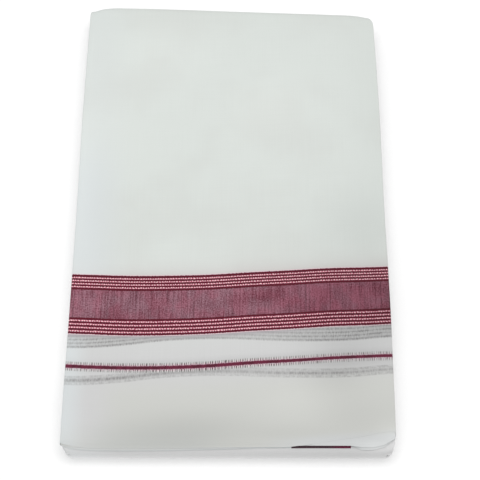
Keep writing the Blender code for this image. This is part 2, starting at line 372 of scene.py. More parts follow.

# %% [markdown]
# ## How the packet has settled
#
# The cloth isn't a plank. The top falls towards the cut end, there is a shallow hollow at the
# right and at the front, and a few soft creases are left from folding. They are given as a smooth
# height that is added to every layer, and that fades out towards the bottom, where nothing moves.
# A simulation would make other creases than the real ones.

# %% Swells and creases
FRONT_FALL = 3.0 * MM
FALL_START = -162.4 * MM
STILL_BELOW = 6 * MM
CREASE_FADE = 0.3  # of a crease's length, at each end
SWELLS = {
    "name": ("back swell", "left swell", "right hollow", "front ridge", "front hollow"),
    "across_mm": (-50, -95, 112, 46, -25),
    "along_mm": (108, -22, -17, -172, -192),
    "half_across_mm": (70, 32, 34, 20, 55),
    "half_along_mm": (80, 70, 48, 38, 26),
    "height_mm": (0.6, 0.5, -1.0, 0.6, -0.8),
}
CREASES = {
    "name": ("press line", "right pull", "left pull", "border pucker", "front pull",
             "ghost trough"),
    "start_mm": ((-20, 194), (128, 58), (-129, 28), (-40, -52), (70, -152), (30, -126)),
    "end_mm": ((25, -32), (70, -42), (-60, -47), (60, -44), (104, -198), (140, -122)),
    "half_width_mm": (9, 8, 10, 6, 9, 8),
    "height_mm": (-0.12, -0.22, 0.16, 0.14, -0.2, -0.4),
}


def soft_hills(table, column, x, y):
    """The sum of a table's soft round hills and hollows at a place."""
    total = 0 * x
    for row, value in enumerate(table[column]):
        across = (x / MM - table["across_mm"][row]) / table["half_across_mm"][row]
        along = (y / MM - table["along_mm"][row]) / table["half_along_mm"][row]
        total = total + value * np.exp(-(across**2) - along**2)
    return total


def swell_heights(x, y):
    fall = FRONT_FALL * ease((FALL_START - y) / (FALL_START + HALF_LENGTH))
    return soft_hills(SWELLS, "height_mm", x, y) * MM - fall


def crease_heights(x, y):
    height = 0 * x
    for row, crease_height in enumerate(CREASES["height_mm"]):
        start = np.array(CREASES["start_mm"][row]) * MM
        way = np.array(CREASES["end_mm"][row]) * MM - start
        length = math.hypot(*way)
        along = ((x - start[0]) * way[0] + (y - start[1]) * way[1]) / length**2
        aside = ((x - start[0]) * way[1] - (y - start[1]) * way[0]) / length
        fade = ease(along / CREASE_FADE) * ease((1 - along) / CREASE_FADE)
        half_width = CREASES["half_width_mm"][row] * MM
        profile = np.exp(-((aside / half_width) ** 2))
        height = height + crease_height * MM * fade * profile
    return height


def settled(x, y, z):
    weight = ease((z - STILL_BELOW) / (PACKET_HEIGHT - LEAF - STILL_BELOW))
    return z + weight * (swell_heights(x, y) + crease_heights(x, y))


print("the top falls", round(-float(swell_heights(0.0, -0.212)) / MM, 1), "mm towards the front")

# %% [markdown]
# ## The folded edges
#
# Down each side nine folded edges lie on each other, and none lines up quite with the next. The
# spiral passes from one to the next round the turns, so each leaf has its own draw-in, with a
# slow waver along it.

# %% Draw-in of each leaf
LEAF_EDGES = {
    "leaf": (1, 2, 3, 4, 5, 6, 7, 8, 9),
    "left_mm": (0.0, 1.2, 0.8, 1.5, 1.6, 0.6, 0.5, 1.2, 2.2),
    "right_mm": (0.0, 1.2, 0.4, 0.5, 1.1, 1.2, 1.8, 2.0, 0.9),
}
WAVER = 0.35 * MM
WAVER_LENGTH = 55 * MM
TOP_WAVER = 0.3 * WAVER
LANE_STEP = 7.3  # every folded edge reads its own lane of the noise
FIRST_LANES = {"left": 0, "right": 50}
NOISE_LEVEL = 0.5


def edge_inset(side, leaf, y):
    own = LEAF_EDGES[side + "_mm"][leaf - 1] * MM
    lane = leaf * LANE_STEP + FIRST_LANES[side]
    waver = noise.noise(Vector((float(y) / WAVER_LENGTH, lane, NOISE_LEVEL)))
    return own + (WAVER if leaf > 1 else TOP_WAVER) * waver


def side_places(station, y_left, y_right):
    """Where the packet's left and right sides are for one row of the mesh."""
    kind, number, share = station
    insets = []
    for side, y in (("left", y_left), ("right", y_right)):
        inset = edge_inset(side, number, y)
        if kind == "turn":
            inset = mix(inset, edge_inset(side, number + 1, y), float(ease(share)))
        inset += float((left_inset if side == "left" else right_inset)(y))
        back_tip = HALF_LENGTH - float(back_inset(-HALF_WIDTH if side == "left" else HALF_WIDTH))
        inset += float(corner_draw_in(back_tip - y, BACK_CORNERS[side]))
        if kind == "turn" or number > 1:
            inset += float(corner_draw_in(y + HALF_LENGTH, FRONT_CORNERS[side]))
        insets.append(inset)
    return -HALF_WIDTH + insets[0], HALF_WIDTH - insets[1]


print("draw-in of leaf 5, left:", round(edge_inset("left", 5, 0.0) / MM, 2), "mm")

# %% [markdown]
# ## The run of the border
#
# The cross border is woven straight, but the cloth was folded a little askew, so the border runs
# up to the right and waves. The same border of the ply beneath shows through the thin cotton as
# a grey ghost just in front of it. Each run is a curve, and the distance from it is kept in the
# mesh, so that the stripes in the material follow it. The thin line in front of the border was
# pulled askew more than the border itself, so it has a run of its own.

# %% Border curves
BORDER_RUN = {  # the back edge of the border on the top ply
    "across_mm": (-131, -116, -83, -50, -17, 16, 49, 82, 115, 131),
    "back_mm": (-64.3, -64.8, -65.8, -65.4, -64.3, -62, -60, -57.7, -56.6, -56),
}
BORDER_DEPTHS = {  # it narrows towards the right
    "across_mm": (-131, -83, -50, -20, 16, 49, 82, 111, 131),
    "depth_mm": (53.6, 53.9, 53.9, 53.6, 53.3, 53.3, 53.1, 52.9, 52.4),
}
THIN_RUN = {  # the middle of the thin line in front of the border
    "across_mm": (-131, -116, -83, -50, -17, 16, 49, 82, 115, 131),
    "middle_mm": (-146.9, -147.6, -148.5, -148.1, -146.5, -143.8, -141.8, -139.2, -137.5, -136.9),
}
GHOST_RUN = {  # the front edge of the border on the ply beneath
    "across_mm": (-131, -118, -87, -55, -24, 8, 40, 71, 103, 119, 131),
    "front_mm": (-130.8, -130.8, -128.6, -124.6, -122.6, -122.6, -123.9, -123.9, -122.6, -120.9,
                 -120),
}
BORDER_DEPTH = 53.5 * MM
GHOST_VEIL = {  # how strongly the ply beneath shows through
    "across_mm": (-131, -100, -60, -20, 20, 60, 90, 131),
    "percent": (52, 66, 62, 54, 48, 60, 70, 67),
}
border_back = smooth_curve(BORDER_RUN, "across_mm", "back_mm")
border_depth = smooth_curve(BORDER_DEPTHS, "across_mm", "depth_mm")
thin_middle = smooth_curve(THIN_RUN, "across_mm", "middle_mm")
ghost_front = smooth_curve(GHOST_RUN, "across_mm", "front_mm")
ghost_veil = smooth_curve(GHOST_VEIL, "across_mm", "percent")
print("the border is", round(BORDER_DEPTH / MM, 1), "mm deep")

# %% [markdown]
# ## Soft patches of light and shade, real and painted
#
# Thin cotton over hollows and swells takes on broad, faint patches of shade. Some come from the
# form itself. The others are painted light and shade, placed here as soft round patches that the
# material adds to the cloth's colour, so they stay with it in any other light. A painted light at
# the foot of every side stands in for the light that the white paper throws up, the front face
# gets painted light and shade of its own, and painted shade darkens the top where it rolls over
# its edges.

# %% Painted light and shade
# soft round patches of painted light and shade: positive values lighten, negative ones darken
PAINTED_LIGHT_AND_SHADE = {
    "name": ("right hollow", "end hollow", "left corner", "left side", "right side", "back left",
             "border at the left", "border at the right", "end of the border", "beside the ghost",
             "by the thin line", "past the line", "in front of it", "front ridge", "right end",
             "raised plies", "before the end", "right corner", "front face", "far back",
             "far middle", "front middle", "under the edge", "corner side"),
    "across_mm": (106, -45, -122, -130, 126, -112, -118, 105, 127, 92, 92, 84, 86, 52, 100, 114,
                  48, 128, -40, -62, 34, -26, 34, 131),
    "along_mm": (-18, -206, -208, 20, 70, 96, -92, -92, -90, -127, -138, -147, -155, -176, -190,
                 -213, -203, -203, -217, 168, 104, -193, -213.8, -212),
    "half_across_mm": (42, 70, 26, 14, 26, 44, 20, 50, 14, 26, 36, 52, 26, 26, 34, 14, 36, 14,
                       100, 46, 34, 50, 26, 5),
    "half_along_mm": (36, 14, 18, 150, 150, 60, 26, 34, 26, 7, 12, 4, 16, 14, 20, 4, 7, 10, 4, 42,
                      34, 11, 0.9, 7),
    "painted_shading": (-10, -11, 7, 5, -4, 3, 9, -20, -9, -7, -9, -6, -9, 4, -8, 13, -5, 8, 12, 5, 5, -6, 6,
             14),
}
PAINTED_PAPER_LIGHT = 13  # painted light at the foot of every side, for the light that the white paper below throws up
PAPER_REACH = 8 * MM
PAINTED_FRONT_FACE = {  # painted light and shade on the front face, from the paper up to the edge of the top
    "height_mm": (0, 3, 7, 11, 15, 18, 20, 23),
    "painted_shading": (9, 14, 10, 0, -8, -7, 0, 0),
}
painted_front_face_curve = smooth_curve(PAINTED_FRONT_FACE, "height_mm", "painted_shading")
FACE_START = -214 * MM  # further forward the front face has its own painted light and shade
FACE_EASE = 3 * MM
PAINTED_RIM_SHADE = -7  # painted shade where the top rolls over its edges, behind the border
RIM_TOP = 0.2 * MM
RIM_DROP = 1.5 * MM
RIM_START = -100 * MM
RIM_EASE = 60 * MM


def painted_shading_at(x, y, z):
    """How much painted light and shade lighten or darken the cotton at a place, in steps of 255."""
    drop = PACKET_HEIGHT + swell_heights(x, y) + crease_heights(x, y) - z
    # rim masks the painted shade of the rolled edges
    rim = ease((drop - RIM_TOP) / RIM_DROP) * ease((y - RIM_START) / RIM_EASE)
    # painted light at the foot of every side, with the painted shade of the rolled edges
    painted_shading = PAINTED_PAPER_LIGHT * np.exp(-((z / PAPER_REACH) ** 2)) + PAINTED_RIM_SHADE * rim
    # painted light and shade on the front face
    painted_shading = painted_shading + painted_front_face_curve(z) / MM * ease((FACE_START - y) / FACE_EASE)
    # the painted patches are added last
    return painted_shading + soft_hills(PAINTED_LIGHT_AND_SHADE, "painted_shading", x, y)


print("tone in the right hollow:", round(float(painted_shading_at(106 * MM, -18 * MM, 22 * MM)), 1))

# %% [markdown]
# ## A station of the spiral
#
# A station is one place along the spiral: on the overhang in front, on a leaf or on a turn. At
# each station the whole chain of columns is drawn once, so a station is a row of the mesh.

# %% Stations


def station_point(station, x, height, end):
    """y and z for a row of columns, before the packet settles."""
    kind, number, share = station
    if kind == "turn":
        return turn_point(number, share, x, height)
    if number > 1:
        return leaf_point(number, share, x, height)
    if kind == "overhang":
        y = mix(end, OVERHANG_BACK, share)
        return y, over_front_turn(y, height)
    y = mix(OVERHANG_BACK, seam(1, x), share)
    return y, 0 * y + leaf_middle(1) + height


top_of_leaf_1 = station_point(("leaf", 1, 0.5), 0.0, 2 * PLY + CLOTH / 2, 0.0)[1]
print("the middle of the top, before it settles:", round(top_of_leaf_1 / MM, 2), "mm high")

# %% [markdown]
# ## The ends of the plies
#
# A cut edge never lies quite flat. Here the plies droop over the front turn, each a little less
# than the one above it, so that they close on each other like the pages of a bent book. Left of
# the lip they stay open, and the dark selvedge border shows. The last threads at the cut are
# loose, so the cloth is thinner there.

# %% Curl and thickness at the cut
CUT_THINNESS = 0.3  # the thickness at the cut, as a share of the rest
CUT_THINNING = 0.09  # how much of the overhang is thinner
CURL = {  # where the end of a ply curls up, or droops
    "ply": ("d", "b", "a", "e", "a", "b", "c", "d"),
    "from_mm": (94, 98, 60, 40, -140, -140, -140, -140),
    "to_mm": (140, 140, 140, 96, 53, 53, 53, 53),
    "lift_mm": (-0.2, -0.45, -0.25, -0.4, -1.1, -0.8, -0.5, -0.2),
    "reach_mm": (2.2, 2.2, 1.8, 3.0, 2.5, 2.5, 2.5, 2.5),
}
CURL_EASE = 6 * MM


def curl_heights(columns, x, y, ends):
    lift = np.zeros(len(x))
    for row, ply in enumerate(CURL["ply"]):
        here = np.array([name == ply for name in columns["ply"]])
        first, last = CURL["from_mm"][row] * MM, CURL["to_mm"][row] * MM
        window = ease((x - first) / CURL_EASE) * ease((last - x) / CURL_EASE)
        near = np.exp(-(((y - ends) / (CURL["reach_mm"][row] * MM)) ** 2))
        lift += here * window * near * CURL["lift_mm"][row] * MM
    return lift


def thickness(station):
    """The cloth's thickness in a row: the cut end is thinner, where its last threads are loose."""
    if station[0] != "overhang":
        return CLOTH
    return CLOTH * mix(CUT_THINNESS, 1.0, float(ease(station[2] / CUT_THINNING)))


print("the cut is", round(thickness(("overhang", 1, 0.0)) / MM, 2), "mm thick")

# %% [markdown]
# ## One row of the mesh
#
# Now a station's columns get their points, on one face of the cloth or the other. The place
# between the packet's sides comes from the columns' shares, the fold's bulge and half the
# thickness are added, and the height follows the leaf or the turn. At last the point settles.

# %% A row of points


def row_of_points(station, columns, side):
    """The row's points on one face of the cloth: side is 1 for the outer face, -1 for the inner."""
    half = thickness(station) / 2
    flat = np.array([-HALF_WIDTH, HALF_WIDTH])
    ends = behind_tip["a"](flat) - HALF_LENGTH
    y_sides = station_point(station, flat, 0.0, ends)[0]
    left, right = side_places(station, y_sides[0], y_sides[1])
    x_middle = mix(left + LEFT_FOLD_REACH, right - RIGHT_FOLD_REACH, columns["share"])
    x = x_middle + columns["bulge"] + side * columns["face_across"] * half
    height = columns["height"] + side * columns["face_up"] * half
    ends = chain_ends(columns, x_middle) if station[0] == "overhang" else np.zeros(len(x))
    y, z = station_point(station, x_middle, height, ends)
    if station[0] == "overhang":
        z = z + curl_heights(columns, x_middle, y, ends)
    return x, y, settled(x, y, z)


x, y, z = row_of_points(("leaf", 1, 0.5), OUTER_COLUMNS, 1)
print("highest point of the middle row:", round(float(z.max()) / MM, 2), "mm")

# %% [markdown]
# ## From rows to a closed sheet
#
# The rows are joined into two skins, the outer and the inner face of the cloth, and a narrow rim
# closes them all round. A Solidify modifier could thicken a single skin, but at the tight inner
# folds its two faces would cross. Here both faces come from the section itself, and stay apart.
#
# The pattern has to know where a point lies in the flat cloth, so the lengths come first: across
# the plies and their folds, and along the leaves and their turns.

# %% Lengths along the cloth


def across_the_cloth(columns):
    """Each column's distance from the inner selvedge of the flat cloth."""
    width = 2 * HALF_WIDTH - LEFT_FOLD_REACH - RIGHT_FOLD_REACH
    steps = np.hypot(
        np.diff(columns["share"]) * width + np.diff(columns["bulge"]), np.diff(columns["height"])
    )
    return np.concatenate([[0.0], np.cumsum(steps)])


CHAIN_WIDTH = float(across_the_cloth(OUTER_COLUMNS)[-1])
ELLIPSE_EXTRA = 1.03  # a squarish turn's path, for that of a round one


def turn_length(turn):
    half_height, _, depth = turn_sizes(turn)
    return math.pi * (half_height + depth) / 2 * ELLIPSE_EXTRA


def leaf_length(leaf):
    start, end = (float(leaf_point(leaf, share, 0.0, 0.0)[0]) for share in (0, 1))
    return abs(end - start)


def travel_of(station):
    """How far along the spiral a station is from the seam of turn 1, at the middle."""
    kind, number, share = station
    if number == 1 and kind != "turn":
        return 0.0
    total = 0.0
    for leaf in range(1, number):
        total += turn_length(leaf)
        total += leaf_length(leaf + 1) if leaf + 1 < number or kind == "turn" else 0.0
    return total + share * (turn_length(number) if kind == "turn" else leaf_length(number))


def place_in_cloth(station, across, x, y, z):
    """A row's place in the flat cloth and in the patterns, with its painted shading and its veil.
    """
    on_leaf_1 = station[1] == 1 and station[0] != "turn"
    reached = y if on_leaf_1 else seam(1, x) + travel_of(station)
    into_border = (border_back(x) - reached) * BORDER_DEPTH / border_depth(x)
    into_ghost = ghost_front(x) + BORDER_DEPTH - reached
    into_line = thin_middle(x) - reached
    veil = ghost_veil(x) / MM / 100
    return np.stack([across, into_border, into_ghost, into_line, painted_shading_at(x, y, z), veil], 1)


print("the cloth is", round(CHAIN_WIDTH, 3), "m wide, from selvedge to selvedge")

# %% [markdown]
# ## Two skins and a rim
#
# Two grids of points, one for each face of the cloth, give the squares. The rim runs once round
# the edge of both, and its narrow faces close the sheet. Three UV maps keep each point's place in
# the cloth, in the ghost of the border and beside the thin line. The two values left over in them
# carry the painted light and shade and how strongly the ghost shows. A colour attribute could hold
# them instead, but the maps have room.

# %% Build the sheet
UV_LAYERS = {  # which two values of a place each map holds
    "name": ("cloth", "ghost", "line"),
    "first": (0, 5, 3),
    "second": (1, 2, 4),
}
SHARP_EDGE = math.radians(55)


def skin_faces(rows, count):
    """The faces of both skins and of the rim between them."""
    under = rows * count
    faces = []
    for row in range(rows - 1):
        for first in range(row * count, row * count + count - 1):
            square = (first, first + 1, first + count + 1, first + count)
            faces.append(square)
            faces.append(tuple(place + under for place in reversed(square)))
    rim = list(range(count))
    rim += [row * count + count - 1 for row in range(1, rows)]
    rim += [(rows - 1) * count + column for column in range(count - 2, -1, -1)]
    rim += [row * count for row in range(rows - 2, 0, -1)]
    for first, second in zip(rim, rim[1:] + rim[:1]):
        faces.append((second, first, first + under, second + under))
    return faces


def build_sheet(name, stations, columns):
    """A closed thin sheet through the stations, with its place in the flat cloth as UV maps."""
    skins = {1: [], -1: []}
    places = []
    across = across_the_cloth(columns)
    for station in stations:
        for side in (1, -1):
            x, y, z = row_of_points(station, columns, side)
            skins[side].append(np.stack([x, y, z], 1))
        places.append(place_in_cloth(station, across, x, y, z))
    mesh = bpy.data.meshes.new(name)
    points = np.concatenate(skins[1] + skins[-1])
    mesh.from_pydata(points.tolist(), [], skin_faces(len(stations), len(across)))
    corners = np.zeros(len(mesh.loops), np.int32)
    mesh.loops.foreach_get("vertex_index", corners)
    places = np.concatenate(places + places)[corners].astype(np.float32)
    for layer, first, second in zip(*UV_LAYERS.values()):
        own = mesh.uv_layers.new(name=layer)
        own.uv.foreach_set("vector", places[:, [first, second]].ravel())
    work = bmesh.new()
    work.from_mesh(mesh)
    bmesh.ops.recalc_face_normals(work, faces=work.faces)
    work.to_mesh(mesh)
    work.free()
    mesh.shade_smooth()
    mesh.set_sharp_from_angle(angle=SHARP_EDGE)
    print(name, "has", len(mesh.polygons), "faces")
    return into_scene(name, mesh)


# %% [markdown]
# ## The outer cloth
#
# The stretch that shows is leaf 1, the back turn, leaf 2 on the table and the front turn. It gets
# fine rows on top, closest at the cut end, where the plies are stepped.

# %% Outer cloth
OVERHANG_SHARES = [0, 0.012, 0.03, 0.055, 0.09, 0.13, 0.18, 0.25, 0.34, 0.46, 0.6, 0.78]
TOP_ROWS = 92
TURN_ROWS = 14
BOTTOM_ROWS = 20


def stations_of(kind, number, rows):
    """Evenly spaced stations on a leaf or a turn, up to where the next one starts."""
    return [(kind, number, share) for share in even_shares(rows)[:-1]]


outer_stations = [("overhang", 1, share) for share in OVERHANG_SHARES]
outer_stations += stations_of("leaf", 1, TOP_ROWS)
outer_stations += stations_of("turn", 1, TURN_ROWS)
outer_stations += stations_of("leaf", 2, BOTTOM_ROWS)
outer_stations += stations_of("turn", 2, TURN_ROWS)
outer_stations.append(("turn", 2, 1.0))
outer_cloth = build_sheet("outer_cloth", outer_stations, OUTER_COLUMNS)
top_length = float(seam(1, 0.0) + HALF_LENGTH - behind_tip["a"](0.0))
outer_length = top_length + leaf_length(2) + turn_length(1) + turn_length(2)
print("the outer cloth uses", round(outer_length, 2), "m of the length")

# %% [markdown]
# ## The inner cloth
#
# The other seven leaves carry on where the outer cloth ends. Only their folded edges show, down
# both sides, so the flat parts get few columns.

# %% Inner cloth
INNER_ROWS = 16
INNER_TURN_ROWS = 8

inner_stations = []
for leaf in range(3, LEAVES + 1):
    inner_stations += stations_of("leaf", leaf, INNER_ROWS)
    if leaf < LEAVES:
        inner_stations += stations_of("turn", leaf, INNER_TURN_ROWS)
inner_stations.append(("leaf", LEAVES, 1.0))
inner_cloth = build_sheet("inner_cloth", inner_stations, INNER_COLUMNS)
inner_length = sum(leaf_length(leaf) for leaf in range(3, LEAVES + 1))
inner_length += sum(turn_length(turn) for turn in range(3, LEAVES))
print("the inner cloth follows", round(inner_length, 2), "m of path")

# %% [markdown]
# ## Nodes for the cotton
#
# The finish is worked out from the three UV maps, in millimetres of flat cloth. It could be put
# together by hand in the node editor, but three hundred nodes are hard to follow there. A few
# small helpers keep the tree readable as code: arithmetic, and a soft step between two values.

# %% Helpers for numbers


def node(tree, kind, **settings):
    made = tree.nodes.new("ShaderNode" + kind)
    for name, value in settings.items():
        setattr(made, name, value)
    return made


def plug(tree, source, socket):
    if isinstance(source, bpy.types.NodeSocket):
        tree.links.new(source, socket)
    elif source is not None:
        socket.default_value = source


def set_inputs(made, values):
    for name, value in values.items():
        made.inputs[name].default_value = value


def reckon(tree, operation, first, second=None, third=None):
    made = node(tree, "Math", operation=operation)
    for value, socket in zip((first, second, third), made.inputs):
        plug(tree, value, socket)
    return made.outputs[0]


def times(tree, product, *others):
    for other in others:
        product = reckon(tree, "MULTIPLY", product, other)
    return product


def soft_step(tree, value, start, end, low=0.0, high=1.0):
    """low before start, high after end, and smooth between them."""
    made = node(tree, "MapRange", interpolation_type="SMOOTHSTEP")
    for place, given in enumerate((value, start, end, low, high)):
        plug(tree, given, made.inputs[place])
    return made.outputs[0]


print("a full turn of a wave is", round(math.tau, 3), "radians")

# %% [markdown]
# ## Colours
#
# Colours are mixed by a share, or multiplied, as a dye filters the light. They are given as they
# look on a screen, in steps of 255, and the shader wants them in linear light.

# %% Helpers for colours


def blend(tree, share, first, second, kind="MIX"):
    made = node(tree, "Mix", data_type="RGBA", blend_type=kind)
    plug(tree, share, made.inputs["Factor"])
    plug(tree, first, made.inputs[6])
    plug(tree, second, made.inputs[7])
    return made.outputs[2]


def dye(tree, colour, filter_colour):
    return blend(tree, 1.0, colour, filter_colour, "MULTIPLY")


def linear(red, green, blue):
    """A colour given in the usual 0 to 255 steps, as the shader wants it."""
    parts = [part / 255 for part in (red, green, blue)]
    parts = [part / 12.92 if part <= 0.04045 else ((part + 0.055) / 1.055) ** 2.4 for part in parts]
    return (*parts, 1)


print("white cotton as the shader sees it:", [round(part, 2) for part in linear(222, 226, 224)])

# %% [markdown]
# ## Uneven threads and slow changes
#
# No thread is quite even, and no finish is the same all over the packet. Each kind of unevenness
# is a noise over the flat cloth, drawn out along the threads that it belongs to. Each slow change
# is a fade between two places on the top ply. They could be written where they are used, but
# tables show the sizes side by side, and give each a name.

# %% Speckles
SPECKLES = {  # in bumps per millimetre of cloth
    "name": ("line wander", "line width", "picot wander", "patchy picots", "shade", "warp", "weft",
             "ghost dots", "streak", "grain", "cloudy", "hue", "odd threads", "core"),
    "across": (0.11, 0.7, 0.3, 0.35, 0.012, 1.6, 0.02, 0.9, 0.7, 1.0, 0.03, 0.08, 0.6, 0.12),
    "along": (0.3, 0.35, 0.01, 0.5, 0.012, 0.02, 1.6, 0.25, 0.035, 0.8, 0.05, 0.06, 0.003, 0.02),
    "detail": (2, 1, 1, 1, 3, 2, 2, 2, 4, 1, 2, 2, 1, 2),
}


def speckle(tree, across, along, name):
    """Noise over the flat cloth, from 0 to 1, by its name in the table."""
    row = SPECKLES["name"].index(name)
    place = node(tree, "CombineXYZ")
    plug(tree, times(tree, across, SPECKLES["across"][row]), place.inputs[0])
    plug(tree, times(tree, along, SPECKLES["along"][row]), place.inputs[1])
    made = node(tree, "TexNoise", noise_dimensions="2D")
    set_inputs(made, {"Scale": 1.0, "Detail": SPECKLES["detail"][row]})
    tree.links.new(place.outputs[0], made.inputs["Vector"])
    return made.outputs[0]


print("there are", len(SPECKLES["name"]), "kinds of speckle")

# %% Fades
# several fades place painted light and shade on the white: warm rows, cool rows, right half, last
# rows, near the end, middle left, at the left and not at the left
FADES = {  # counted from a side of the top ply leftwards, or from the border's back edge forwards
    "name": ("slimmer line", "not at the left", "warm rows", "cool rows", "right half", "last rows",
             "near the end", "middle left", "at the left", "ghost ground", "ghost line",
             "deeper ground", "line haze", "picots at the right", "picots at the left",
             "haze in front", "haze behind"),
    "counted_from": ("right", "left", "border", "border", "right", "border", "border", "left",
                     "left", "right", "right", "right", "left", "right", "left", "right", "left"),
    "start_mm": (60, -50, 84, -150, 60, 143, 122, -150, -40, 30, 20, 60, -70, 60, -70, 50, -60),
    "end_mm": (130, -20, 110, -80, 120, 152, 150, -90, 0, 110, 70, 130, -10, 130, -10, 120, -10),
    "before": (0.16, 1, 0, 0.25, 1, 0, 0, 0, 1, 0.85, 0.7, 1, 1, 0.7, 1, 0.25, 1),
    "after": (0, 0, 1, 0.8, 0, 1, 1, 1, 0.4, 0.72, 1, 0, 0.45, 1, 0.75, 0.75, 0.3),
}
TOP_RIGHT = (CHAIN_WIDTH - SELVEDGE_PLACE - 3 * HALF_WIDTH) / MM  # where the top ply starts
TOP_LEFT = TOP_RIGHT + 2 * HALF_WIDTH / MM
ZEROS = {"right": TOP_RIGHT, "left": TOP_LEFT, "border": 0.0}


def fade(tree, place, name):
    """A slow change over the packet, by its name in the table."""
    row = FADES["name"].index(name)
    zero = ZEROS[FADES["counted_from"][row]]
    start, end = zero + FADES["start_mm"][row], zero + FADES["end_mm"][row]
    return soft_step(tree, place, start, end, FADES["before"][row], FADES["after"][row])


print("the top ply lies", round(TOP_RIGHT), "to", round(TOP_LEFT), "mm from the inner selvedge")

# %% [markdown]
# ## Small steps
#
# The same goes for the small steps inside the pattern: where a fringe begins, how far a haze
# reaches, or which values of a noise count as a dark thread. A hard threshold would be simpler,
# but it leaves jagged edges. Yarn has soft ones, so every step is a soft step.

# %% Steps
ODD_THREAD = 0.72  # how dark a single thicker red thread is beside the ground
STEPS = {  # of a noise or a wave, or of a distance in mm
    "name": ("shade", "far rows", "fringe starts", "fringe ends", "haze in front", "picots start",
             "picots end", "patchy picots", "core", "line haze", "near the line", "ghost dots",
             "thick threads", "hue", "odd threads", "bead", "tick", "core patches", "browner"),
    "start": (0.35, 190, -1.1, -0.4, -6, 1.45, 3.4, 0.25, 1, 2.5, 2.2, 0.3, 0.69, 0.34, 0.66, 0.1,
              -0.5, 0.42, 8),
    "end": (0.75, 290, -0.6, -0.1, -0.6, 1.95, 4.6, 0.6, 1.4, 10, 3.4, 0.7, 1.76, 0.66, 0.7, 1,
            0.5, 0.62, 19),
    "before": (0, 0, 0, 1, 0, 0, 1, 0.4, 1, 0.26, 1, 0.72, 0, 0, 1, 0, 0, 0, 0),
    "after": (1, 1, 1, 0, 1, 1, 0, 1, 0, 0, 0, 1.22, 1, 1, ODD_THREAD, 1, 1, 1, 1),
}


def step_of(tree, value, name):
    """A small step of the pattern, by its name in the table."""
    row = STEPS["name"].index(name)
    start, end = STEPS["start"][row], STEPS["end"][row]
    return soft_step(tree, value, start, end, STEPS["before"][row], STEPS["after"][row])


print("a single darker thread keeps", ODD_THREAD, "of the ground's brightness")

# %% [markdown]
# ## The lines of the border
#
# The cross border has a group of five dark red lines with four pink ones between them, then a
# wide ground where red weft crosses white warp, then the same group again. The pink lines are of
# yarn twisted from a white and a red thread, so they look like fine dashes.
#
# They could be drawn as curves on the cloth, line by line. Here a wave across the cloth gives the
# twist, and two noises make its edge waver, so one helper does for every yarn.

# %% The groups and their twist
LINE_GROUPS = {  # from the edge inwards; the hollow behind the border squeezes the back group
    "name": ("back", "front"),
    "first_line_mm": (1.3, 0.8),
    "pitch_mm": (2.79, 3.14),
    "depth_mm": (13.8, 14.5),
}
LINES = 5
TWIST_PITCH = 2.1
TWIST_WANDER = 9.0  # radians
TWIST_WAVER = 0.12  # how far the twist moves a yarn's edge
WIDTH_WAVER = 0.9  # how far its uneven width does
LINE_SHIFT = 2.3  # radians, from each line to the next


def by_group(tree, front_half, column):
    """A size of the line groups: the back group's, or the front group's in the front half."""
    back, front = LINE_GROUPS[column]
    return reckon(tree, "MULTIPLY_ADD", front_half, front - back, back)


def twisted_yarn(tree, across, along, shift):
    """The twist of a yarn, from -1 to 1, and how far its edge wavers, in mm."""
    wander = times(tree, speckle(tree, across, along, "line wander"), TWIST_WANDER)
    place = times(tree, across, math.tau / TWIST_PITCH)
    twist = reckon(tree, "SINE", reckon(tree, "ADD", reckon(tree, "ADD", place, wander), shift))
    uneven = reckon(tree, "SUBTRACT", speckle(tree, across, along, "line width"), 0.5)
    return twist, reckon(tree, "MULTIPLY_ADD", twist, TWIST_WAVER, times(tree, uneven, WIDTH_WAVER))


print("depth of the line groups, in mm:", LINE_GROUPS["depth_mm"])

# %% [markdown]
# ## Where each yarn shows
#
# A mask says how much of a yarn shows at a place, from 0 to 1. Both halves of the border mirror
# each other, so one coordinate does for both: the distance in from the nearer edge. A wave along
# it gives the lines. What lies between the two groups is the ground.

# %% Masks of the border
WAVE_START = -0.55  # on the wave of the lines, where a dark line starts to show
WAVE_FULL = -0.35
WAVE_BLUR = 1.6  # how much of the wave each millimetre of blur takes up
LINE_EDGE_EASE = 0.05  # of the pitch
BORDER_OVERLAP = 0.25
HAZE_FADE = 0.87  # what is left of the haze behind the border after each millimetre
HAZE_SHARE = 0.55


